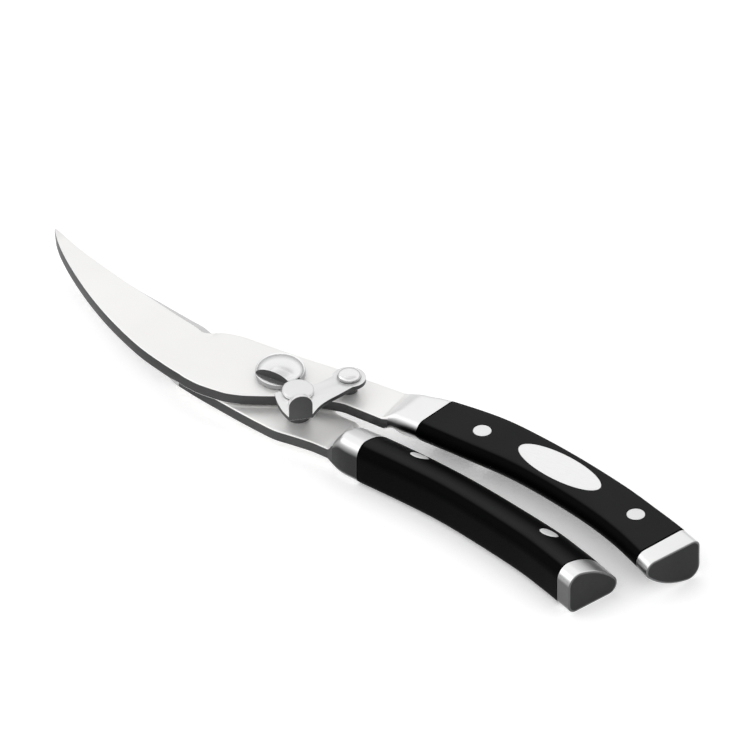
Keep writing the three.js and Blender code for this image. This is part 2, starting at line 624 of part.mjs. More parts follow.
// A ring on the hook's pin.
function latchRing(radius, low, high) {
  return tube(LATCH_PIN.x, LATCH_PIN.y, LATCH_PIN_R + SLIDE_GAP, radius, low, high, 24);
}

const WASHER_HIGH = LATCH_LOW - SLIDE_GAP;
const WASHER_LOW = WASHER_HIGH - LATCH_WASHER;

// ---------------------------------------------------------------- materials and scene graph

const finish = (color, roughness, metalness) => new THREE.MeshStandardMaterial({
  color, roughness, metalness,
});
const steel = (color = 0xe9e8e6, roughness = 0.25) => finish(color, roughness, 1);
const polymer = () => finish(0x141414, 0.42, 0);
const bronze = () => finish(0xb08a4a, 0.4, 1);

const lowerHalf = new THREE.Group();
const upperHalf = new THREE.Group();
const latch = new THREE.Group();

function place(group, name, solid, material) {
  const mesh = new THREE.Mesh(toGeometry(solid), material);
  mesh.name = name;
  group.add(mesh);
}

place(lowerHalf, 'lower_blade', makeLowerBlade(), steel());
place(lowerHalf, 'lower_grip', makeGrip(LOWER), polymer());
place(lowerHalf, 'lower_end_cap', makeEndCap(LOWER), steel());
place(lowerHalf, 'pivot_screw', makePivotScrew(), steel(0xf0f0f0, 0.12));
place(lowerHalf, 'pivot_bush', makePivotBush(), bronze());
place(lowerHalf, 'pivot_nut', makePivotNut(), steel());
place(lowerHalf, 'opening_spring', makeOpeningSpring(), steel(0xc8c8c8, 0.35));
place(lowerHalf, 'latch_stud', makeStud(), steel(0xdedede, 0.3));

place(upperHalf, 'upper_blade', makeUpperBlade(), steel());
place(upperHalf, 'upper_grip', makeGrip(UPPER), polymer());
place(upperHalf, 'upper_end_cap', makeEndCap(UPPER), steel());
place(upperHalf, 'badge_plate', badgeSolid(BADGE_DEPTH, 0, GRIP_HIGH - BADGE_SINK), steel(0xf2f2f2, 0.3));
place(upperHalf, 'latch_rivet', makeLatchRivet(), steel(0xf0f0f0, 0.15));
place(upperHalf, 'latch_spacer',
  latchRing(LATCH_SPACER_R, UPPER_HIGH + PRESS_GAP, WASHER_LOW - SLIDE_GAP), steel());
place(upperHalf, 'latch_washer', latchRing(LATCH_WASHER_R, WASHER_LOW, WASHER_HIGH), steel());

RIVETS.forEach((rivet) => {
  const group = rivet.half === UPPER ? upperHalf : lowerHalf;
  const { head, pin } = makeRivet(rivet);
  place(group, `${rivet.name}_rivet`, head, steel(0xe4e4e4, 0.3));
  place(group, `${rivet.name}_rivet_pin`, pin, steel(0xe4e4e4, 0.3));
});

place(latch, 'latch_hook', makeLatchHook(), steel(0xe2e2e2, 0.3));

upperHalf.add(latch);
const shears = new THREE.Group();
shears.add(lowerHalf, upperHalf);

export default shears;
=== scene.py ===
import math

import bmesh
import bpy
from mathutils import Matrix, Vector
from mathutils.bvhtree import BVHTree


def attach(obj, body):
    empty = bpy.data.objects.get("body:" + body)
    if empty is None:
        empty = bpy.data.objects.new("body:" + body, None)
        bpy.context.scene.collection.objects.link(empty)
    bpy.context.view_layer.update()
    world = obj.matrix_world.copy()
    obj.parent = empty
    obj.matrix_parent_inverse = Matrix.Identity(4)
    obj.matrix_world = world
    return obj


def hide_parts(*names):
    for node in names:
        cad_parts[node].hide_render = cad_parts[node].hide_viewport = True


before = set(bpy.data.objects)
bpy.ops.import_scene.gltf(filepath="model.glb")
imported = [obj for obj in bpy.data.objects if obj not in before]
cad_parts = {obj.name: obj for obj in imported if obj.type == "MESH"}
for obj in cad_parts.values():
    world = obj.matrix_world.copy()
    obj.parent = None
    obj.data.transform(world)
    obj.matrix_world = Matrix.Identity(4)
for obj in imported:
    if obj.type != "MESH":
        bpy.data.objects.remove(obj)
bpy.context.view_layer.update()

MM = 0.001

# ---------------------------------------------------------------- camera: first, at the photograph's angle

AZIMUTH, ELEVATION = math.radians(30), math.radians(37)
TARGET = Vector((24.0, 14.1, 10.84)) * MM
LENS = 1200                         # millimetres: the view is almost parallel
SENSOR = 36
VIEW_WIDTH = 0.220875               # metres across the picture at the target
DISTANCE = VIEW_WIDTH * LENS / SENSOR
cam_data = bpy.data.cameras.new("camera")
cam_data.lens = LENS
cam_data.sensor_width = SENSOR
cam_data.clip_start, cam_data.clip_end = 0.1, 30
camera = bpy.data.objects.new("camera", cam_data)
bpy.context.scene.collection.objects.link(camera)
back = Vector((math.sin(AZIMUTH) * math.cos(ELEVATION), -math.cos(AZIMUTH) * math.cos(ELEVATION),
               math.sin(ELEVATION)))
camera.location = TARGET + back * DISTANCE
camera.rotation_mode = "QUATERNION"
camera.rotation_quaternion = (-back).to_track_quat("-Z", "Y")
bpy.context.scene.camera = camera

# ---------------------------------------------------------------- sizes, in millimetres, as in the CAD

GRIP_LOW, GRIP_HIGH = 0.0, 13.4
MEET, BLADE = 6.8, 3.9              # height where the blades meet, and their thickness
HALF_GAP = 0.15                     # from that height to each shearing face
UPPER_LOW, UPPER_HIGH = MEET + HALF_GAP, MEET + HALF_GAP + BLADE
LOWER_HIGH, LOWER_LOW = MEET - HALF_GAP, MEET - HALF_GAP - BLADE
POCKET_R, POCKET_DEPTH = 6.3, 2.05  # round pocket for the opening spring, in each half
LEG_INNER, LEG_OUTER = 6.2, 9.8     # radii of the groove for a spring leg, beside the pocket
LEG_HALF_ANGLE = 0.13
OPEN_SWEEP = math.radians(52)
BUSH_BORE_R, PIN_BORE_R, STUD_BORE_R, HOOK_BORE_R = 3.45, 1.8, 2.05, 1.78
MOUTH_R = 3.05                      # half the width of the hook's mouth
BELOW, ABOVE = -10, 30              # a cutter between these heights passes right through
GRIP_SECTION = dict(corner=3.0, heel=4.0, nose=3.2, crown=0.32, square=0.0)
SHANK_SECTION = dict(corner=0.6, heel=0.6, nose=0.6, crown=0.0, square=1.0)
EDGE_THIN = 0.35
TOOTH_PITCH, TOOTH_DEPTH = 0.9, 0.16
TIP_CUT = 0.015                     # share of the blade that the squared point leaves off
GROUND_FADE = 0.13                  # share of the blade over which the grinding begins
STATIONS = 9
GRIP_START = 2 / STATIONS
BOLSTER_FULL = 0.9 / STATIONS
STUD = Vector((11.8, -10.0))
PIN = Vector((21.1, 3.9))
LATCH_LOW = MEET + 7.5
LATCH_HIGH = LATCH_LOW + 1.4
LATCH_RATIO = 1.2
HANDLE_LENGTH = 112.0               # along a handle's curves, about
RIVET_R, RIVET_STEM = 2.75, 1.9
RIVET_SEAT_R, RIVET_SEAT = 2.86, 2.2
BADGE_AT, BADGE_TURN = Vector((94.9, -0.5)), math.radians(-12.5)
BADGE_LONG, BADGE_SHORT = 15.6, 5.6
BADGE_ROOM, BADGE_RECESS = 0.1, 0.9
HEAD_R, HEAD_RISE, HEAD_FLAT_Y = 7.45, 3.5, -4.7
NUT_R, NUT_BORE_R, NUT_FLOOR = 7.2, 2.65, 0.9
KEY_HOLE_AT, KEY_HOLE_R, KEY_HOLE_DEPTH = 4.8, 1.0, 1.6
TAB_FEET = (15.6, -21.9), (20.9, -17.1)
TAB_HEIGHT, TAB_THICK = 8.4, 1.4

UPPER_OUTER = [(36.0, 11.1), (44.5, 12.1), (52.2, 13.4), (68.4, 13.6), (83.5, 11.3), (99.4, 7.6),
               (116.4, 2.6), (128.8, -2.0), (138.0, -5.6), (147.4, -9.8)]
UPPER_INNER = [(36.0, -3.2), (41.5, -3.5), (48.4, -3.9), (65.0, -5.6), (80.0, -7.1), (94.5, -10.2),
               (110.5, -14.9), (122.5, -19.6), (132.0, -24.4), (140.3, -29.2)]
LOWER_OUTER = [(27.0, -19.2), (33.0, -21.6), (39.2, -22.8), (54.3, -24.9), (69.0, -27.5), (84.9, -31.7),
               (101.1, -36.7), (112.0, -41.0), (118.0, -43.6), (123.9, -46.2)]
LOWER_INNER = [(27.0, -3.5), (34.0, -3.6), (40.6, -3.9), (57.0, -6.2), (72.3, -9.2), (88.5, -13.3),
               (104.6, -17.9), (115.0, -21.9), (122.0, -24.8), (130.3, -28.6)]

# Each blade's spine and cutting edge, at matching stations from the point to the heel.
UPPER_SPINE = [(-96.2, 32.0), (-91.5, 25.4), (-86.0, 19.7), (-78.0, 12.9), (-68.2, 5.6), (-57.0, -1.5),
               (-43.8, -8.3), (-32.5, -12.4), (-26.5, -14.0)]
UPPER_EDGE = [(-96.2, 32.0), (-88.6, 27.8), (-79.0, 24.4), (-64.4, 20.2), (-53.3, 17.8), (-40.0, 14.6),
              (-33.0, 12.9), (-26.5, 9.4)]
LOWER_EDGE = [(-94.6, 31.6), (-89.0, 25.0), (-83.6, 20.3), (-75.8, 13.9), (-66.4, 6.9), (-55.6, 0.3),
              (-43.5, -5.6), (-36.0, -8.6), (-28.4, -10.8)]
LOWER_SPINE = [(-94.6, 31.6), (-88.2, 27.6), (-78.8, 24.0), (-64.0, 19.0), (-53.0, 16.0), (-40.0, 11.6),
               (-33.0, 9.2), (-28.4, 8.6)]

# Sides of each bare shank, from the heel to the bolster, by rising X. The grip's outer side comes first.
UPPER_SIDES = ([(-26.5, 9.4), (-22.2, 10.8), (-18.5, 11.3), (-10.0, 11.2), (0.4, 11.2), (12.7, 11.6),
                (22.5, 11.2), (36.0, 11.1)],
               [(-26.5, -14.0), (-24.0, -14.8), (-17.6, -15.7), (-11.1, -15.5), (-6.0, -14.2),
                (-0.4, -11.5), (3.6, -9.3), (9.5, -6.6), (15.4, -4.4), (19.5, -3.1), (23.3, -2.4),
                (27.0, -2.6), (36.0, -3.2)])
LOWER_SIDES = ([(-28.4, -10.8), (-21.0, -12.9), (-10.0, -15.5), (-3.3, -17.0), (3.3, -18.3),
                (9.7, -19.2), (15.2, -18.9), (21.0, -18.7), (27.0, -19.2)],
               [(-28.4, 8.6), (-24.0, 9.4), (-16.0, 10.2), (-6.0, 10.4), (2.0, 9.8), (9.0, 7.4),
                (14.5, 3.2), (18.5, -0.6), (22.0, -3.0), (27.0, -3.5)])

UPPER = dict(outer=UPPER_OUTER, inner=UPPER_INNER, low=UPPER_LOW, high=UPPER_HIGH, up=True,
             cap=8.3 / STATIONS, edge=UPPER_EDGE, spine=UPPER_SPINE, sides=UPPER_SIDES,
             body="upper_half", grind=0.2, ground_from=1.02)
LOWER = dict(outer=LOWER_OUTER, inner=LOWER_INNER, low=LOWER_LOW, high=LOWER_HIGH, up=False,
             cap=8.1 / STATIONS, edge=LOWER_EDGE, spine=LOWER_SPINE, sides=LOWER_SIDES,
             body="lower_half", grind=0.34, ground_from=0.97)

RIVETS = {
    "upper_front": (UPPER, (66.4, 3.6)), "upper_rear": (UPPER, (125.4, -9.1)),
    "lower_front": (LOWER, (54.7, -12.9)), "lower_rear": (LOWER, (106.3, -26.8)),
}

# ---------------------------------------------------------------- curves and sections


def lerp(a, b, t):
    return a + (b - a) * t


def smoothstep(x, a, b):
    x = min(1.0, max(0.0, (x - a) / (b - a)))
    return x * x * (3 - 2 * x)


def spline_at(points, t):
    """Uniform Catmull-Rom through points, t from 0 to 1."""
    p = (len(points) - 1) * t
    i = min(int(math.floor(p)), len(points) - 1)
    w = p - i
    a = points[i if i == 0 else i - 1]
    b = points[i]
    c = points[min(i + 1, len(points) - 1)]
    d = points[min(i + 2, len(points) - 1)]
    out = []
    for k in (0, 1):
        v0, v1 = (c[k] - a[k]) * 0.5, (d[k] - b[k]) * 0.5
        out.append((2 * b[k] - 2 * c[k] + v0 + v1) * w ** 3 + (-3 * b[k] + 3 * c[k] - 2 * v0 - v1) * w * w
                   + v0 * w + b[k])
    return Vector(out)


def side_at(points, x):
    """Y of a side curve at X: cubic between neighbours, with limited slopes so that it never overshoots."""
    n = len(points)
    i = max(j for j in range(n - 1) if points[j][0] <= x or j == 0)
    (x0, y0), (x1, y1) = points[i], points[i + 1]

    def slope(j):
        if j == 0:
            return (points[1][1] - points[0][1]) / (points[1][0] - points[0][0])
        if j == n - 1:
            return (points[-1][1] - points[-2][1]) / (points[-1][0] - points[-2][0])
        a = (points[j][1] - points[j - 1][1]) / (points[j][0] - points[j - 1][0])
        b = (points[j + 1][1] - points[j][1]) / (points[j + 1][0] - points[j][0])
        return 0.0 if a * b <= 0 else 2 * a * b / (a + b)

    h = x1 - x0
    t = min(1.0, max(0.0, (x - x0) / h))
    return ((2 * t ** 3 - 3 * t * t + 1) * y0 + (t ** 3 - 2 * t * t + t) * h * slope(i)
            + (-2 * t ** 3 + 3 * t * t) * y1 + (t ** 3 - t * t) * h * slope(i + 1))


def arc(cx, cy, r, a, b, n):
    angles = [lerp(a, b, i / n) for i in range(n + 1)]
    return [Vector((cx + r * math.cos(t), cy + r * math.sin(t))) for t in angles]


N_CORNER, N_NOSE, N_LOW, N_HEEL, N_SIDE, N_FLAT = 8, 7, 8, 10, 8, 6


def handle_section(width, height, corner, heel, nose, crown, square):
    """Section of a handle: s from the outer wall, h up to the flat face. Always the same number of points.

    A rounded bar at square = 1, and at 0 a wedge that ends in one round nose.
    """
    limit = 0.49 * min(width, height)
    corner, heel, nose = min(corner, limit), min(heel, limit), min(nose, limit)
    top_nose = Vector((width - nose, height - nose))
    low_nose = Vector((top_nose.x, lerp(top_nose.y, nose, square)))
    reach = low_nose - Vector((heel, heel))
    touch = math.atan2(reach.y, reach.x) - math.acos(max(-1, min(1, (heel - nose) / reach.length)))
    top = arc(corner, height - corner, corner, math.pi, math.pi / 2, N_CORNER)
    nose_arc = arc(top_nose.x, top_nose.y, nose, math.pi / 2, 0, N_NOSE)
    low_arc = arc(low_nose.x, low_nose.y, nose, 0, touch + crown, N_LOW)
    heel_arc = arc(heel, heel, heel, touch - crown, -math.pi, N_HEEL)
    a, b = low_arc[-1], heel_arc[0]
    peak = (a + b) / 2 + Vector((math.cos(touch), math.sin(touch))) * ((b - a).length / 2 * math.tan(crown))
    shares = [i / N_SIDE for i in range(1, N_SIDE)]
    side = [a * (1 - t) ** 2 + peak * 2 * t * (1 - t) + b * t * t for t in shares]
    flat = [top[-1].lerp(nose_arc[0], i / N_FLAT) for i in range(1, N_FLAT)]
    return top + flat + nose_arc[:-1] + low_arc + side + heel_arc


def blend_sections(a, b, share):
    return {key: lerp(a[key], b[key], share) for key in a}


def blade_section(width, height, grind, edge):
    """Section of a ground blade, point for point like handle_section(): thin at s = 0, full at the spine."""
    r = min(0.35, 0.3 * height, 0.3 * width)
    shoulder = grind * width
    top = [Vector((0, edge)).lerp(Vector((shoulder, height)), i / N_CORNER) for i in range(N_CORNER + 1)]
    spine_top = arc(width - r, height - r, r, math.pi / 2, 0, N_NOSE)
    spine_low = arc(width - r, r, r, 0, -math.pi / 2, N_LOW)
    flat = [top[-1].lerp(spine_top[0], i / N_FLAT) for i in range(1, N_FLAT)]
    low_start = Vector((min(0.5, 0.3 * width), 0))
    side = [spine_low[-1].lerp(low_start, i / N_SIDE) for i in range(1, N_SIDE)]
    heel = []
    for i in range(N_HEEL + 1):
        along_base = low_start.lerp(Vector((0, 0)), min(1, i / 4))
        heel.append(along_base.lerp(Vector((0, edge * 0.5)), max(0, (i - 4) / (N_HEEL - 4))))
    return top + flat + spine_top[:-1] + spine_low + side + heel


def lay(section, a, b, low, high, up):
    """Places a section between plan points a (outer side) and b (inner side)."""
    across = (b - a).normalized()
    return [Vector((a.x + across.x * p.x, a.y + across.y * p.x, low + p.y if up else high - p.y))
            for p in section]


# ---------------------------------------------------------------- mesh helpers


def new_object(name, bm, materials):
    mesh = bpy.data.meshes.new(name)
    bmesh.ops.recalc_face_normals(bm, faces=bm.faces)
    for v in bm.verts:
        v.co *= MM
    bm.to_mesh(mesh)
    bm.free()
    obj = bpy.data.objects.new(name, mesh)
    bpy.context.scene.collection.objects.link(obj)
    for m in materials:
        mesh.materials.append(m)
    return obj


def skin(rings):
    """A closed mesh over rings of equal length."""
    bm = bmesh.new()
    rows = [[bm.verts.new(p) for p in ring] for ring in rings]
    n = len(rows[0])
    for r0, r1 in zip(rows, rows[1:]):
        for i in range(n):
            bm.faces.new((r0[i], r0[(i + 1) % n], r1[(i + 1) % n], r1[i]))
    bm.faces.new(rows[0])
    bm.faces.new(list(reversed(rows[-1])))
    bmesh.ops.remove_doubles(bm, verts=bm.verts, dist=0.002)
    bmesh.ops.dissolve_degenerate(bm, edges=bm.edges, dist=0.001)
    return bm


def circle(bm, x, y, r, z, sides):
    """A ring of new vertices round (x, y)."""
    angles = [2 * math.pi * i / sides for i in range(sides)]
    return [bm.verts.new((x + r * math.cos(a), y + r * math.sin(a), z)) for a in angles]


def bridge(bm, a, b):
    """Faces between two rows of vertices, either of which may be a single point."""
    sides = max(len(a), len(b))
    for i in range(sides):
        j = (i + 1) % sides
        if len(a) == 1 and len(b) > 1:
            bm.faces.new((a[0], b[i], b[j]))
        elif len(b) == 1 and len(a) > 1:
            bm.faces.new((a[i], a[j], b[0]))
        elif len(a) > 1:
            bm.faces.new((a[i], a[j], b[j], b[i]))


def lathe(x, y, profile, sides):
    """Turned solid; the profile goes from the axis to the axis, as (radius, z)."""
    bm = bmesh.new()
    rows = [circle(bm, x, y, r, z, sides) if r > 0 else [bm.verts.new((x, y, z))] for r, z in profile]
    for a, b in zip(rows, rows[1:]):
        bridge(bm, a, b)
    return bm


def rod(x, y, r, low, high, sides):
    return lathe(x, y, [(0, low), (r, low), (r, high), (0, high)], sides)


def ring_solid(x, y, inner, outer, low, high, soft=0.15, sides=64):
    """A washer or spacer with softened rims."""
    profile = [(inner, low), (outer - soft, low), (outer, low + soft), (outer, high - soft),
               (outer - soft, high), (inner, high)]
    bm = bmesh.new()
    rows = [circle(bm, x, y, r, z, sides) for r, z in profile]
    for a, b in zip(rows, rows[1:] + rows[:1]):
        bridge(bm, a, b)
    return bm


def prism(outline, low, high):
    bm = bmesh.new()
    bottom = [bm.verts.new((p[0], p[1], low)) for p in outline]
    top = [bm.verts.new((p[0], p[1], high)) for p in outline]
    n = len(outline)
    bm.faces.new(list(reversed(bottom)))
    bm.faces.new(top)
    for i in range(n):
        bm.faces.new((bottom[i], bottom[(i + 1) % n], top[(i + 1) % n], top[i]))
    return bm


def apply_modifiers(obj):
    dg = bpy.context.evaluated_depsgraph_get()
    mesh = bpy.data.meshes.new_from_object(obj.evaluated_get(dg))
    old = obj.data
    obj.modifiers.clear()
    obj.data = mesh
    bpy.data.meshes.remove(old)


def boolean(obj, cutters, operation="DIFFERENCE"):
    for c in cutters:
        m = obj.modifiers.new("cut", "BOOLEAN")
        m.operation = operation
        m.solver = "EXACT"
        m.object = c
        apply_modifiers(obj)
        bpy.data.objects.remove(c)


def cutter(bm):
    return new_object("cutter", bm, [])


def soften(obj, width, angle):
    m = obj.modifiers.new("bevel", "BEVEL")
    m.width = width * MM
    m.segments = 3
    m.limit_method = "ANGLE"
    m.angle_limit = math.radians(angle)
    m.use_clamp_overlap = True
    apply_modifiers(obj)


def shade(obj, angle):
    for p in obj.data.polygons:
        p.use_smooth = True
    obj.data.set_sharp_from_angle(angle=math.radians(angle))


def give(obj, body, slot, *nodes):
    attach(obj, body)
    if nodes:
        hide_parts(*nodes)


# ---------------------------------------------------------------- materials


def base_material(name, color, metallic, roughness):
    m = bpy.data.materials.new(name)
    m.use_nodes = True
    bsdf = m.node_tree.nodes["Principled BSDF"]
    bsdf.inputs["Base Color"].default_value = (*color, 1)
    bsdf.inputs["Metallic"].default_value = metallic
    bsdf.inputs["Roughness"].default_value = roughness
    return m, m.node_tree, bsdf


def noise(tree, scale, stretch, detail=4.0, rotate=0.0):
    coords = tree.nodes.new("ShaderNodeTexCoord")
    mapping = tree.nodes.new("ShaderNodeMapping")
    mapping.inputs["Scale"].default_value = stretch
    mapping.inputs["Rotation"].default_value = (0, 0, rotate)
    tex = tree.nodes.new("ShaderNodeTexNoise")
    tex.inputs["Scale"].default_value = scale
    tex.inputs["Detail"].default_value = detail
    tree.links.new(coords.outputs["Object"], mapping.inputs["Vector"])
    tree.links.new(mapping.outputs["Vector"], tex.inputs["Vector"])
    return tex.outputs["Fac"]


def ranged(tree, value, low, high):
    node = tree.nodes.new("ShaderNodeMapRange")
    node.inputs["To Min"].default_value = low
    node.inputs["To Max"].default_value = high
    tree.links.new(value, node.inputs["Value"])
    return node.outputs["Result"]


def tinted(tree, value, dark, light):
    ramp = tree.nodes.new("ShaderNodeValToRGB")
    ramp.color_ramp.elements[0].position = 0.3
    ramp.color_ramp.elements[0].color = (*dark, 1)
    ramp.color_ramp.elements[1].position = 0.7
    ramp.color_ramp.elements[1].color = (*light, 1)
    tree.links.new(value, ramp.inputs["Fac"])
    return ramp.outputs["Color"]


def bumped(tree, bsdf, value, strength, distance):
    bump = tree.nodes.new("ShaderNodeBump")
    bump.inputs["Strength"].default_value = strength
    bump.inputs["Distance"].default_value = distance
    tree.links.new(value, bump.inputs["Height"])
    tree.links.new(bump.outputs["Normal"], bsdf.inputs["Normal"])


def worn(tree, color, bright, amount):
    """Lighter where an edge sticks out, broken up by noise."""
    geometry = tree.nodes.new("ShaderNodeNewGeometry")
    edge = tree.nodes.new("ShaderNodeMapRange")
    edge.inputs["From Min"].default_value = 0.53
    edge.inputs["From Max"].default_value = 0.62
    tree.links.new(geometry.outputs["Pointiness"], edge.inputs["Value"])
    broken = tree.nodes.new("ShaderNodeMath")
    broken.operation = "MULTIPLY"
    tree.links.new(edge.outputs["Result"], broken.inputs[0])
    tree.links.new(ranged(tree, noise(tree, 900, (1, 1, 1)), 0.0, amount), broken.inputs[1])
    mix = tree.nodes.new("ShaderNodeMix")
    mix.data_type = "RGBA"
    tree.links.new(broken.outputs["Value"], mix.inputs["Factor"])
    tree.links.new(color, mix.inputs["A"])
    mix.inputs["B"].default_value = (*bright, 1)
    return mix.outputs["Result"]


def paint_shade_by_slope(tree, side, color, low=0.1, high=0.8):
    """Painted shade by slope: the darker `side` tone where the surface stands upright, `color` where it lies
    flat, whichever way up it is.
    """
    # Painted shade: upright faces are darkened by the world normal's Z, not by any light.
    geometry = tree.nodes.new("ShaderNodeNewGeometry")
    split = tree.nodes.new("ShaderNodeSeparateXYZ")
    tree.links.new(geometry.outputs["Normal"], split.inputs["Vector"])
    flatness = tree.nodes.new("ShaderNodeMath")
    flatness.operation = "ABSOLUTE"
    tree.links.new(split.outputs["Z"], flatness.inputs[0])
    share = tree.nodes.new("ShaderNodeMapRange")
    share.interpolation_type = "SMOOTHSTEP"
    share.inputs["From Min"].default_value = low
    share.inputs["From Max"].default_value = high
    tree.links.new(flatness.outputs["Value"], share.inputs["Value"])
    mix = tree.nodes.new("ShaderNodeMix")
    mix.data_type = "RGBA"
    tree.links.new(share.outputs["Result"], mix.inputs["Factor"])
    mix.inputs["A"].default_value = (*side, 1)
    tree.links.new(color, mix.inputs["B"])
    return mix.outputs["Result"]


def grey(v):
    return v, v, v


def metal(name, dark, light, rough, grain, scale=260.0, rotate=0.0, bump=0.05, wear=0.35, side=None,
          metallic=1.0):
    """Drawn or brushed metal. `grain` stretches its lines, and `side` is a darker tone painted on its upright
    faces: painted shade.
    """
    m, tree, bsdf = base_material(name, light, metallic, sum(rough) / 2)
    lines = noise(tree, scale, grain, 6.0, rotate)
    cloud = noise(tree, 35, (1, 1, 1), 3.0)
    color = tinted(tree, cloud, dark, light)
    # Painted shade: upright faces are blended to the darker `side` tone.
    if side:
        color = paint_shade_by_slope(tree, side, color)
    tree.links.new(worn(tree, color, (0.97, 0.97, 0.96), wear), bsdf.inputs["Base Color"])
    tree.links.new(ranged(tree, lines, *rough), bsdf.inputs["Roughness"])
    bumped(tree, bsdf, lines, bump, 0.00004)
    return m


SATIN = metal("satin_steel", (0.915, 0.910, 0.900), (0.950, 0.945, 0.935), (0.36, 0.48), (1, 14, 14),
              rotate=0.5, metallic=0.6)
# Painted shade: a near-black copy of the steel for upright walls and for parts that sit in shade.
PAINTED_SHADE = metal("painted_shade_wall", (0.060, 0.060, 0.061), (0.085, 0.085, 0.086), (0.36, 0.52), (1, 1, 20),
             wear=0.05)
EDGE = metal("ground_bevel", grey(0.44), grey(0.60), (0.30, 0.44), (18, 1, 1),
             rotate=-0.35, bump=0.1, metallic=0.35)
# Painted shade: the bolster, cap and dome steels turn to a darker `side` tone where their faces stand
# upright.
BOLSTER = metal("bolster_steel", grey(0.86), grey(0.91), (0.34, 0.44), (1, 3, 3),
                bump=0.02, wear=0.1, side=(0.035, 0.035, 0.036))
CAP_SIDE = metal("cap_steel_side", grey(0.84), grey(0.90), (0.26, 0.38), (1, 3, 3),
                 bump=0.02, wear=0.1, side=(0.13, 0.13, 0.132))
DOME = metal("pivot_dome", grey(0.80), grey(0.88), (0.14, 0.22), (1, 3, 3),
             bump=0.02, wear=0.0, side=(0.34, 0.34, 0.345))
POLISHED = metal("polished_steel", grey(0.82), grey(0.90), (0.12, 0.22), (1, 3, 3), bump=0.02)
# Painted shade: the cap's upright end face, the same steel, painted near black.
CAP_END_SHADE = metal("cap_end_painted_shade", (0.030, 0.030, 0.031), (0.044, 0.044, 0.045), (0.38, 0.52), (1, 1, 1),
                 scale=700, wear=0.1)
RIVET = metal("rivet_face", grey(0.80), grey(0.87), (0.40, 0.54), (1, 1, 1), scale=600, metallic=0.45)
LATCH = metal("latch_steel", grey(0.78), grey(0.85), (0.30, 0.42), (12, 1, 1), rotate=0.7)
BRONZE = metal("bush_bronze", (0.50, 0.36, 0.17), (0.66, 0.50, 0.26), (0.30, 0.45), (1, 1, 16))
WIRE = metal("spring_wire", (0.50, 0.50, 0.51), (0.64, 0.64, 0.65), (0.28, 0.42), (1, 1, 1), scale=500)


def moulded_grip():
    m, tree, bsdf = base_material("moulded_grip", grey(0.006), 0.0, 0.4)
    bsdf.inputs["Specular IOR Level"].default_value = 0.03
    fine = noise(tree, 2600, (1, 1, 1), 3.0)
    cloud = noise(tree, 55, (1, 1, 1), 4.0)
    flat = tinted(tree, cloud, grey(0.017), (0.021, 0.021, 0.0212))
    # Painted light and shade: faces that lie flat keep the dark grey, sloping and upright faces are painted
    # near black, which leaves a lighter band along each crest.
    color = paint_shade_by_slope(tree, grey(0.0006), flat, 0.90, 1.0)
    tree.links.new(worn(tree, color, grey(0.02), 0.06), bsdf.inputs["Base Color"])
    tree.links.new(ranged(tree, cloud, 0.42, 0.54), bsdf.inputs["Roughness"])
    bumped(tree, bsdf, fine, 0.18, 0.00005)
    return m


def badge_material():
    m, tree, bsdf = base_material("badge_face", grey(0.85), 0.6, 0.34)
    lines = noise(tree, 300, (1, 16, 1), 5.0, 0.2)
    tree.links.new(tinted(tree, lines, grey(0.86), grey(0.93)), bsdf.inputs["Base Color"])
    tree.links.new(ranged(tree, lines, 0.30, 0.40), bsdf.inputs["Roughness"])
    bumped(tree, bsdf, lines, 0.02, 0.00002)
    return m


GRIP = moulded_grip()
BADGE = badge_material()

# ---------------------------------------------------------------- forged halves


def serration(x):
    """Depth of the fine teeth on the cutting edge."""
    phase = (x / TOOTH_PITCH) % 1.0
    return TOOTH_DEPTH * (1 - abs(2 * phase - 1))


def blade_rings(half, steps=320):
    """From the point to the heel. The thinning is taken from the outer face: the shearing faces stay flat."""
    rings = []
    for i in range(steps + 1):
        t = lerp(TIP_CUT, 1, i / steps)
        front, back = spline_at(half["edge"], t), spline_at(half["spine"], t)
        ground = smoothstep(half["ground_from"] - t, 0, GROUND_FADE)
        teeth = min(serration(front.x) * ground, (back - front).length * 0.2)
        front = front + (back - front).normalized() * teeth
        width = (back - front).length
        thick = BLADE * smoothstep(t, -0.12, 0.16)
        full = handle_section(width, thick, **SHANK_SECTION)
        thin = blade_section(width, thick, half["grind"], min(EDGE_THIN, thick * 0.5))
        section = [f.lerp(g, ground) for f, g in zip(full, thin)]
        low = UPPER_LOW if half["up"] else LOWER_HIGH - thick
        rings.append(lay(section, front, back, low, low + thick, half["up"]))
    return rings


def shank_rings(half, spacing=0.8):
    outer, inner = half["sides"]
    first, last = outer[0][0], outer[-1][0]
    steps = int((last - first) / spacing)
    rings = []
    for i in range(1, steps):
        x = lerp(first, last, i / steps)
        a, b = Vector((x, side_at(outer, x))), Vector((x, side_at(inner, x)))
        section = handle_section((b - a).length, BLADE, **SHANK_SECTION)
        rings.append(lay(section, a, b, half["low"], half["high"], half["up"]))
    return rings


def bolster_rings(half, steps=46):
    rings = []
    for i in range(steps + 1):
        t = lerp(0, GRIP_START - 0.002, i / steps)
        a, b = spline_at(half["outer"], t), spline_at(half["inner"], t)
        swell = smoothstep(t, 0, BOLSTER_FULL)
        low, high = lerp(half["low"], GRIP_LOW, swell), lerp(half["high"], GRIP_HIGH, swell)
        sizes = blend_sections(SHANK_SECTION, GRIP_SECTION, swell)
        sizes["square"] = (1 - swell) ** 2
        rings.append(lay(handle_section((b - a).length, high - low, **sizes), a, b, low, high, half["up"]))
    return rings


def leg_groove(start, end, low, high):
    """A sector groove beside the pocket, where a leg of the opening spring lies."""
    angles = [lerp(start, end, i / 12) for i in range(13)]
    outline = [(LEG_OUTER * math.cos(a), LEG_OUTER * math.sin(a)) for a in angles]
    outline += [(LEG_INNER * math.cos(a), LEG_INNER * math.sin(a)) for a in reversed(angles)]
    return prism(outline, low, high)


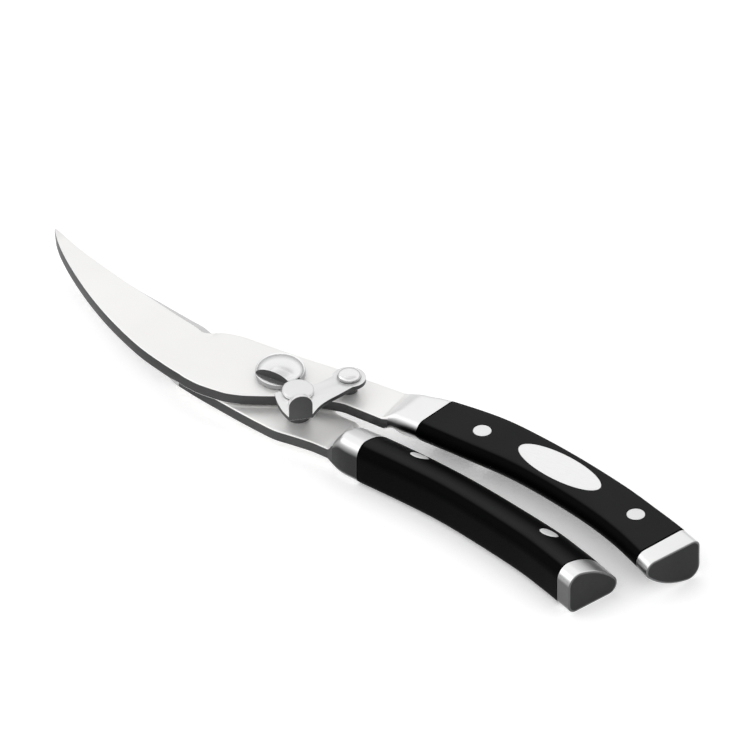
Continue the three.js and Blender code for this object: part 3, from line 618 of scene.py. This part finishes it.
def half_cuts(half):
    """The bores, the spring's pocket, and the groove for the leg that this half holds."""
    cuts = [rod(0, 0, BUSH_BORE_R, BELOW, ABOVE, 64)]
    if half["up"]:
        roof = UPPER_LOW + POCKET_DEPTH
        cuts.append(rod(0, 0, POCKET_R, BELOW, roof, 64))
        cuts.append(leg_groove(-LEG_HALF_ANGLE - OPEN_SWEEP, LEG_HALF_ANGLE, UPPER_LOW - 1, roof))
        cuts.append(rod(PIN.x, PIN.y, PIN_BORE_R, BELOW, ABOVE, 48))
    else:
        base = LOWER_HIGH - POCKET_DEPTH
        cuts.append(rod(0, 0, POCKET_R, base, ABOVE, 64))
        cuts.append(leg_groove(math.pi - LEG_HALF_ANGLE, math.pi + LEG_HALF_ANGLE, base, LOWER_HIGH + 1))
        cuts.append(rod(STUD.x, STUD.y, STUD_BORE_R, BELOW, ABOVE, 48))
    return cuts


def finish_half(obj, half):
    """Gives each face its material: satin flat, near-black painted shade on upright walls, ground bevel on
    the edge's side, or bolster.
    """
    on_flat, on_painted_shade, on_bevel, on_bolster = range(4)
    heel_x = half["edge"][-1][0]
    towards_edge = 1 if half["up"] else -1
    bolster_x = half["outer"][0][0] + 2.2
    for p in obj.data.polygons:
        x, n = p.center.x / MM, p.normal
        if x > bolster_x:
            p.material_index = on_bolster
        elif x < heel_x and abs(n.z) < 0.93 and n.y * towards_edge > 0.05:
            p.material_index = on_bevel
        else:
            # Painted shade: upright walls take the near-black colour.
            p.material_index = on_painted_shade if abs(n.z) < 0.45 else on_flat


def forged(half, name, node):
    rings = blade_rings(half) + shank_rings(half) + bolster_rings(half)
    obj = new_object(name, skin(rings), [SATIN, PAINTED_SHADE, EDGE, BOLSTER])
    boolean(obj, [cutter(c) for c in half_cuts(half)])
    finish_half(obj, half)
    shade(obj, 30)
    give(obj, half["body"], "blade_steel", node)


# ---------------------------------------------------------------- grips and caps


def handle_ring(half, t, inset=0.0):
    a, b = spline_at(half["outer"], t), spline_at(half["inner"], t)
    sizes = {key: max(value - inset, 0.3) if key in ("corner", "heel", "nose") else value
             for key, value in GRIP_SECTION.items()}
    section = handle_section((b - a).length - 2 * inset, GRIP_HIGH - GRIP_LOW - 2 * inset, **sizes)
    return lay([p + Vector((inset, inset)) for p in section], a, b, GRIP_LOW, GRIP_HIGH, half["up"])


def grip_rings(half, soft=0.22):
    length = HANDLE_LENGTH
    start, end = GRIP_START + 0.0006, half["cap"] - 0.0006
    rings = []
    for i in range(4):
        k = i / 3
        rings.append(handle_ring(half, start + soft * (1 - math.cos(k * math.pi / 2)) / length,
                                 soft * (1 - math.sin(k * math.pi / 2))))
    steps = 90
    rings += [handle_ring(half, lerp(start + 2 * soft / length, end - 2 * soft / length, i / steps))
              for i in range(steps + 1)]
    for i in range(4):
        k = i / 3
        rings.append(handle_ring(half, end - soft * (1 - k) / length,
                                 soft * (1 - math.cos(k * math.pi / 2))))
    return rings


def surface(half):
    bm = skin(grip_rings(half))
    bmesh.ops.recalc_face_normals(bm, faces=bm.faces)
    tree = BVHTree.FromBMesh(bm)
    bm.free()

    def top(x, y):
        hit = tree.ray_cast(Vector((x, y, 40)), Vector((0, 0, -1)))[0]
        return hit.z if hit else GRIP_HIGH

    def under(x, y):
        hit = tree.ray_cast(Vector((x, y, -20)), Vector((0, 0, 1)))[0]
        return hit.z if hit else GRIP_LOW
    return top, under


SURFACE = {id(UPPER): surface(UPPER), id(LOWER): surface(LOWER)}


def badge_outline(grow):
    """The badge's ellipse, larger by `grow` all round."""
    out = []
    for i in range(96):
        a = 2 * math.pi * i / 96
        x, y = (BADGE_LONG + grow) * math.cos(a), (BADGE_SHORT + grow) * math.sin(a)
        out.append(Vector((BADGE_AT.x + x * math.cos(BADGE_TURN) - y * math.sin(BADGE_TURN),
                           BADGE_AT.y + x * math.sin(BADGE_TURN) + y * math.cos(BADGE_TURN))))
    return out


def grip(half, name, node):
    obj = new_object(name, skin(grip_rings(half)), [GRIP])
    cuts = []
    top, under = SURFACE[id(half)]
    for rivet_half, (x, y) in RIVETS.values():
        if rivet_half is half:
            cuts.append(rod(x, y, RIVET_SEAT_R, top(x, y) - RIVET_SEAT, ABOVE, 64))
            cuts.append(rod(x, y, RIVET_SEAT_R, BELOW, under(x, y) + RIVET_SEAT, 64))
    if half is UPPER:
        cuts.append(prism(badge_outline(BADGE_ROOM), GRIP_HIGH - BADGE_RECESS, GRIP_HIGH + 2))
    boolean(obj, [cutter(c) for c in cuts])
    shade(obj, 32)
    give(obj, half["body"], "grip_polymer", node)


def end_cap(half, name, node):
    rings = []
    start = half["cap"] + 0.0022
    soft, length = 0.7, HANDLE_LENGTH
    for i in range(4):
        k = i / 3
        rings.append(handle_ring(half, start + 0.2 * k / length, 0.2 * (1 - math.sin(k * math.pi / 2))))
    rings += [handle_ring(half, lerp(start + 0.3 / length, 1 - soft / length, i / 14)) for i in range(15)]
    for i in range(1, 8):
        k = i / 7 * math.pi / 2
        rings.append(handle_ring(half, 1 - soft / length * (1 - math.sin(k)), soft * (1 - math.cos(k))))
    obj = new_object(name, skin(rings), [CAP_SIDE, CAP_END_SHADE])
    along = (spline_at(half["outer"], 1) - spline_at(half["outer"], 0.97)
             + spline_at(half["inner"], 1) - spline_at(half["inner"], 0.97)).normalized()
    # Painted shade: the upright end face takes the near-black end-face colour.
    for p in obj.data.polygons:
        facing = p.normal.x * along.x + p.normal.y * along.y
        p.material_index = 1 if facing > 0.93 and len(p.vertices) > 8 else 0
    shade(obj, 34)
    give(obj, half["body"], "cap_steel", node)


def rivet_head(name, half, x, y, upwards, node):
    """A disc that follows the grip's skin, slightly crowned, with a soft rim, and its stem below."""
    top, under = SURFACE[id(half)]
    bm = bmesh.new()
    sides = 72
    rows = []
    crown = ((0.0, 0.0), (0.3, 0.0), (0.55, 0.004), (0.75, 0.01), (0.88, 0.03), (0.95, 0.07), (1.0, 0.17))
    for share, drop in crown:
        row = []
        for i in range(1 if share == 0 else sides):
            a = 2 * math.pi * i / sides
            px, py = x + RIVET_R * share * math.cos(a), y + RIVET_R * share * math.sin(a)
            z = top(px, py) - drop if upwards else under(px, py) + drop
            row.append(bm.verts.new((px, py, z)))
        rows.append(row)
    stem_end = top(x, y) - RIVET_STEM if upwards else under(x, y) + RIVET_STEM
    rows.append(circle(bm, x, y, RIVET_R, stem_end, sides))
    for a, b in zip(rows, rows[1:]):
        bridge(bm, a, b)
    bm.faces.new(rows[-1])
    obj = new_object(name, bm, [RIVET])
    shade(obj, 34)
    give(obj, half["body"], "rivet_metal", node)


def badge():
    """A plain oval plate with a raised, rounded rim."""
    bm = bmesh.new()
    rows = []
    rim = ((0.0, 0.8), (0.0, 0.16), (0.05, 0.07), (0.14, 0.02), (0.5, 0.0), (0.72, 0.04), (0.9, 0.04))
    for inset, drop in rim:
        rows.append([bm.verts.new((p.x, p.y, GRIP_HIGH - drop)) for p in badge_outline(-inset)])
    for a, b in zip(rows, rows[1:]):
        bridge(bm, a, b)
    bm.faces.new(rows[0])
    bm.faces.new(list(reversed(rows[-1])))
    obj = new_object("badge_face", bm, [BADGE])
    shade(obj, 30)
    give(obj, "upper_half", "badge_metal", "badge_plate")


# ---------------------------------------------------------------- pivot


def pivot_head():
    base, rim = UPPER_HIGH + 0.3, UPPER_HIGH + 1.75
    profile = [(0, 1.3), (2.5, 1.3), (2.5, base - 0.1), (2.5, base), (HEAD_R - 0.35, base),
               (HEAD_R - 0.1, base + 0.1), (HEAD_R, base + 0.35), (HEAD_R, rim - 0.1)]
    profile += [((HEAD_R - 0.02) * math.cos(a), rim + HEAD_RISE * math.sin(a))
                for a in (math.pi / 2 * i / 22 for i in range(22))]
    profile.append((0, rim + HEAD_RISE))
    obj = new_object("pivot_head", lathe(0, 0, profile, 128), [DOME, PAINTED_SHADE])
    milled = prism([(-12, -14), (12, -14), (12, HEAD_FLAT_Y), (-12, HEAD_FLAT_Y)], rim, ABOVE)
    boolean(obj, [cutter(milled)])
    soften(obj, 0.16, 42)
    # Painted shade: the milled flat, which stands upright, takes the near-black colour.
    for p in obj.data.polygons:
        c = p.center / MM
        on_flat = abs(c.y - HEAD_FLAT_Y) < 0.3 and c.z > rim + 0.05
        p.material_index = 1 if p.normal.y < -0.95 and on_flat else 0
    shade(obj, 28)
    give(obj, "lower_half", "pivot_steel", "pivot_screw")


def pivot_nut():
    top = LOWER_LOW - 0.3
    profile = [(0, 0), (6.7, 0), (7.05, 0.12), (NUT_R, 0.5), (NUT_R, top - 0.25), (6.95, top), (0, top)]
    obj = new_object("pivot_cap_nut", lathe(0, 0, profile, 128), [POLISHED])
    holes = [rod(side * KEY_HOLE_AT, 0, KEY_HOLE_R, BELOW, KEY_HOLE_DEPTH, 40) for side in (-1, 1)]
    holes.append(rod(0, 0, NUT_BORE_R, NUT_FLOOR, ABOVE, 48))
    boolean(obj, [cutter(h) for h in holes])
    shade(obj, 30)
    give(obj, "lower_half", "pivot_steel", "pivot_nut")


# ---------------------------------------------------------------- latch


def turn(p, about, angle):
    d, c, s = p - about, math.cos(angle), math.sin(angle)
    return about + Vector((d.x * c - d.y * s, d.x * s + d.y * c))


def catmull(points, per=6):
    steps = (len(points) - 1) * per
    return [spline_at(points, i / steps) for i in range(steps + 1)]


def mouth_outline(radius, open_deg=24, steps=24):
    """The track that the stud takes as seen from the hook, widened by radius."""
    path = []
    for i in range(steps + 1):
        angle = math.radians(open_deg * i / steps)
        path.append(turn(turn(STUD, Vector((0, 0)), -angle), PIN, -angle * LATCH_RATIO))
    left, right = [], []
    for i, p in enumerate(path):
        d = (path[min(i + 1, steps)] - path[max(i - 1, 0)]).normalized()
        n = Vector((-d.y, d.x))
        left.append(p + n * radius)
        right.append(p - n * radius)
    d = (path[1] - path[0]).normalized()
    a = math.atan2(d.y, d.x)
    round_end = arc(path[0].x, path[0].y, radius, a - math.pi / 2, a - 3 * math.pi / 2, 28)
    return list(reversed(right)) + round_end[1:-1] + left


def thumb_tab():
    """The round-topped tab that stands on the plate's near end, and the direction from its face inwards."""
    foot_a, foot_b = (Vector(p) for p in TAB_FEET)
    along = (foot_b - foot_a).normalized()
    half = (foot_b - foot_a).length / 2
    inward = Vector((-along.y, along.x))
    mid = (foot_a + foot_b) / 2
    face = [(-half, 0.0), (half, 0.0)]
    face += [tuple(p) for p in arc(0, TAB_HEIGHT - half, half, 0, math.pi, 40)]
    bm = bmesh.new()
    rows = []
    for depth in (0.0, TAB_THICK):
        rows.append([bm.verts.new((mid.x + along.x * s + inward.x * depth,
                                   mid.y + along.y * s + inward.y * depth, LATCH_LOW + h)) for s, h in face])
    bm.faces.new(rows[0])
    bm.faces.new(list(reversed(rows[1])))
    n = len(face)
    for i in range(n):
        j = (i + 1) % n
        bm.faces.new((rows[0][i], rows[1][i], rows[1][j], rows[0][j]))
    bmesh.ops.recalc_face_normals(bm, faces=bm.faces)
    return bm, inward


def hook():
    near = catmull([(6.1, -13.9), (8.1, -16.4), (10.4, -18.6), (12.8, -20.4), TAB_FEET[0]])
    edge = catmull([TAB_FEET[1], (20.7, -12.9), (21.4, -9.1), (22.8, -4.9), (24.4, 0.15)])
    end = arc(PIN.x, PIN.y, 5.0, -0.85, math.pi + 0.3, 48)
    far = catmull([(16.6, 1.8), (15.4, -1.6), (13.6, -5.0), (11.0, -6.2), (7.2, -11.4)], 5)
    plate = prism(near + edge[:-1] + end + far, LATCH_LOW, LATCH_HIGH)
    obj = new_object("latch_hook_plate", plate, [LATCH, PAINTED_SHADE])
    mouth = prism(mouth_outline(MOUTH_R), LATCH_LOW - 1, LATCH_HIGH + 1)
    boolean(obj, [cutter(mouth), cutter(rod(PIN.x, PIN.y, HOOK_BORE_R, BELOW, ABOVE, 48))])
    tab, inward = thumb_tab()
    boolean(obj, [cutter(tab)], "UNION")
    soften(obj, 0.2, 40)
    # Painted shade: the tab's outer face and the plate's upright walls take the near-black colour.
    for p in obj.data.polygons:
        outward = -(p.normal.x * inward.x + p.normal.y * inward.y)
        wall = abs(p.normal.z) < 0.35
        p.material_index = 1 if wall and (outward > 0.9 or p.center.z / MM < LATCH_HIGH - 0.1) else 0
    shade(obj, 30)
    give(obj, "latch", "latch_steel", "latch_hook")


def stud():
    cap_low, cap_high = LATCH_HIGH + 0.15, LATCH_HIGH + 1.4
    tail = [(0, LOWER_LOW), (1.95, LOWER_LOW), (1.95, LOWER_HIGH + 0.05)]
    collar = [(3.4, LOWER_HIGH + 0.05), (3.4, LATCH_LOW - 0.5), (3.25, LATCH_LOW - 0.35)]
    neck = [(2.6, LATCH_LOW - 0.35), (2.6, cap_low)]
    cap = [(4.5, cap_low), (4.7, cap_low + 0.15), (4.7, cap_high - 0.4), (4.62, cap_high - 0.2),
           (4.45, cap_high - 0.07), (4.2, cap_high - 0.01), (3.9, cap_high), (0, cap_high)]
    turned = lathe(STUD.x, STUD.y, tail + collar + neck + cap, 112)
    obj = new_object("latch_stud_turned", turned, [LATCH, PAINTED_SHADE])
    # Painted shadow: the upright faces below the hook plate take the near-black colour.
    for p in obj.data.polygons:
        p.material_index = 1 if abs(p.normal.z) < 0.5 and p.center.z / MM < LATCH_LOW else 0
    shade(obj, 30)
    give(obj, "lower_half", "latch_steel", "latch_stud")


def latch_pin():
    seat = LATCH_HIGH + 0.1
    profile = [(0, UPPER_LOW), (1.65, UPPER_LOW), (1.65, seat), (3.45, seat), (3.65, seat + 0.2)]
    profile += [(3.62 * math.cos(a) ** 0.55, seat + 0.35 + 1.35 * math.sin(a))
                for a in (math.pi / 2 * i / 20 for i in range(20))]
    profile.append((0, seat + 1.7))
    obj = new_object("latch_rivet_dome", lathe(PIN.x, PIN.y, profile, 112), [DOME])
    shade(obj, 40)
    give(obj, "upper_half", "latch_steel", "latch_rivet")
    # The spacer and washer take the near-black colour: a painted shadow under the hook plate.
    ring = ring_solid(PIN.x, PIN.y, PIN_BORE_R, 2.5, UPPER_HIGH + 0.05, LATCH_LOW - 0.7)
    spacer = new_object("latch_spacer_ring", ring, [PAINTED_SHADE])
    shade(spacer, 30)
    give(spacer, "upper_half", "latch_steel", "latch_spacer")
    ring = ring_solid(PIN.x, PIN.y, PIN_BORE_R, 3.0, LATCH_LOW - 0.6, LATCH_LOW - 0.1, 0.1)
    washer = new_object("latch_washer_ring", ring, [PAINTED_SHADE])
    shade(washer, 30)
    give(washer, "upper_half", "latch_steel", "latch_washer")


# ---------------------------------------------------------------- build

forged(UPPER, "upper_forged_half", "upper_blade")
forged(LOWER, "lower_forged_half", "lower_blade")
grip(UPPER, "upper_grip_shell", "upper_grip")
grip(LOWER, "lower_grip_shell", "lower_grip")
end_cap(UPPER, "upper_cap", "upper_end_cap")
end_cap(LOWER, "lower_cap", "lower_end_cap")
for rivet_name, (rivet_half, (rx, ry)) in RIVETS.items():
    rivet_head(f"{rivet_name}_head_top", rivet_half, rx, ry, True, f"{rivet_name}_rivet")
    rivet_head(f"{rivet_name}_head_under", rivet_half, rx, ry, False, f"{rivet_name}_rivet_pin")
badge()
pivot_head()
pivot_nut()
hook()
stud()
latch_pin()

for node, material in (("opening_spring", WIRE), ("pivot_bush", BRONZE)):
    for s in range(len(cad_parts[node].material_slots)):
        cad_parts[node].material_slots[s].material = material

# ---------------------------------------------------------------- studio

bm = bmesh.new()
bmesh.ops.create_grid(bm, x_segments=24, y_segments=24, size=3000)
for v in bm.verts:
    v.co.z -= 0.05
floor = new_object("floor", bm, [])
white, white_tree, white_bsdf = base_material("floor_white", (0.93, 0.93, 0.93), 0.0, 0.75)
white_bsdf.inputs["Emission Color"].default_value = (1, 1, 1, 1)
white_bsdf.inputs["Emission Strength"].default_value = 0.26
bumped(white_tree, white_bsdf, noise(white_tree, 400, (1, 1, 1)), 0.02, 0.0001)
floor.data.materials.append(white)


def area_light(name, location, target, size, power):
    data = bpy.data.lights.new(name, "AREA")
    data.shape = "RECTANGLE"
    data.size, data.size_y = size
    data.energy = power
    light = bpy.data.objects.new(name, data)
    bpy.context.scene.collection.objects.link(light)
    light.location = location
    light.visible_camera = False
    light.rotation_mode = "QUATERNION"
    light.rotation_quaternion = (Vector(target) - Vector(location)).to_track_quat("-Z", "Y")


area_light("top", (0.0, -0.2, 1.9), (0.02, 0, 0), (2.2, 2.2), 6)
area_light("side", (-1.3, -0.6, 1.0), (0.02, 0, 0), (0.9, 0.9), 2)

# A soft room: dim at the horizon, bright from half height up, and dimmer again overhead.
world = bpy.data.worlds.new("studio")
world.use_nodes = True
sky = world.node_tree
sky_coords = sky.nodes.new("ShaderNodeTexCoord")
sky_split = sky.nodes.new("ShaderNodeSeparateXYZ")
sky_ramp = sky.nodes.new("ShaderNodeValToRGB")
sky_ramp.color_ramp.elements[0].position = 0.0
sky_ramp.color_ramp.elements[0].color = (0.30, 0.30, 0.31, 1)
sky_ramp.color_ramp.elements[1].position = 0.5
sky_ramp.color_ramp.elements[1].color = (1.06, 1.06, 1.06, 1)
high = sky_ramp.color_ramp.elements.new(0.78)
high.color = (1.02, 1.02, 1.02, 1)
overhead = sky_ramp.color_ramp.elements.new(0.97)
overhead.color = (0.40, 0.40, 0.40, 1)
sky.links.new(sky_coords.outputs["Generated"], sky_split.inputs["Vector"])
sky.links.new(sky_split.outputs["Z"], sky_ramp.inputs["Fac"])
sky.links.new(sky_ramp.outputs["Color"], sky.nodes["Background"].inputs["Color"])
bpy.context.scene.world = world
bpy.context.scene.view_settings.view_transform = "Standard"
